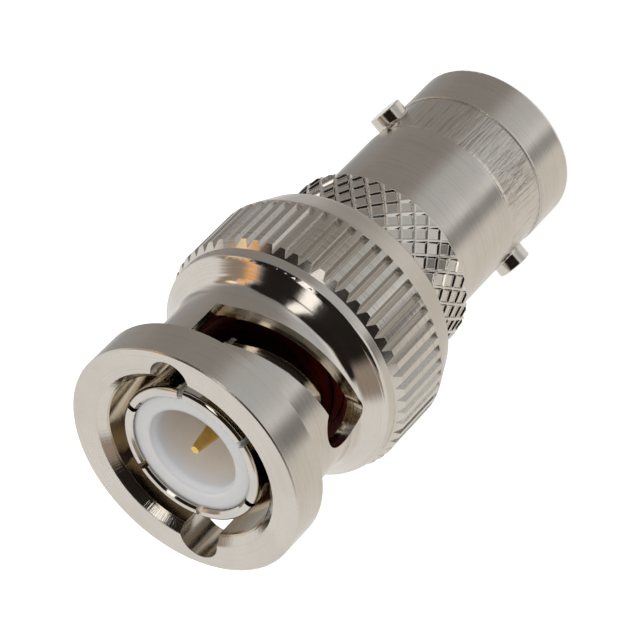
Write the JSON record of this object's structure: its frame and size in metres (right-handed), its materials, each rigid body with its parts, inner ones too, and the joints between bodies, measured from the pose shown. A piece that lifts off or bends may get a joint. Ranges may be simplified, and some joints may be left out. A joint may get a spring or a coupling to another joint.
{
  "type": "bnc connector",
  "caption": "Coaxial bayonet adapter: a plug with a sprung, fluted coupling ring at one end and a jack with two bayonet studs at the other.",
  "frame": {"origin": "centre of the jack's flat end face, on the connector's axis", "axes": "+Z along the axis from the jack to the plug; the two bayonet studs lie along X"},
  "size_m": [0.0144, 0.0144, 0.0297],
  "materials": {
    "satin_nickel": "satin nickel plate on brass",
    "bright_nickel": "bright nickel plate",
    "spring_bronze": "plain spring bronze",
    "red_silicone": "matt silicone rubber",
    "white_ptfe": "waxy white fluoropolymer",
    "gold_plate": "gold plate"
  },
  "bodies": {
    "connector_body": {"jack_shell": "satin_nickel", "plug_body": "bright_nickel", "gasket": "red_silicone", "flat_washer_front": "bright_nickel", "wave_washers": "spring_bronze", "plug_insulator": "white_ptfe", "jack_insulator": "white_ptfe", "pin_contact": "gold_plate", "socket_contact": "gold_plate"},
    "thrust_washer": {"flat_washer_rear": "bright_nickel"},
    "ring": {"coupling_ring": "satin_nickel"}
  },
  "joints": [
    {"name": "ring_slide", "type": "slide", "parent": "connector_body", "child": "thrust_washer", "axis": [0, 0, 1], "range_m": [0, 0.001], "stiffness_N_per_m": 12000, "springref_m": -0.0004, "deforming": ["wave_washers"]},
    {"name": "ring_turn", "type": "hinge", "parent": "thrust_washer", "child": "ring", "pos_m": [0, 0, 0.0166], "axis": [0, 0, 1], "continuous": true}
  ]
}
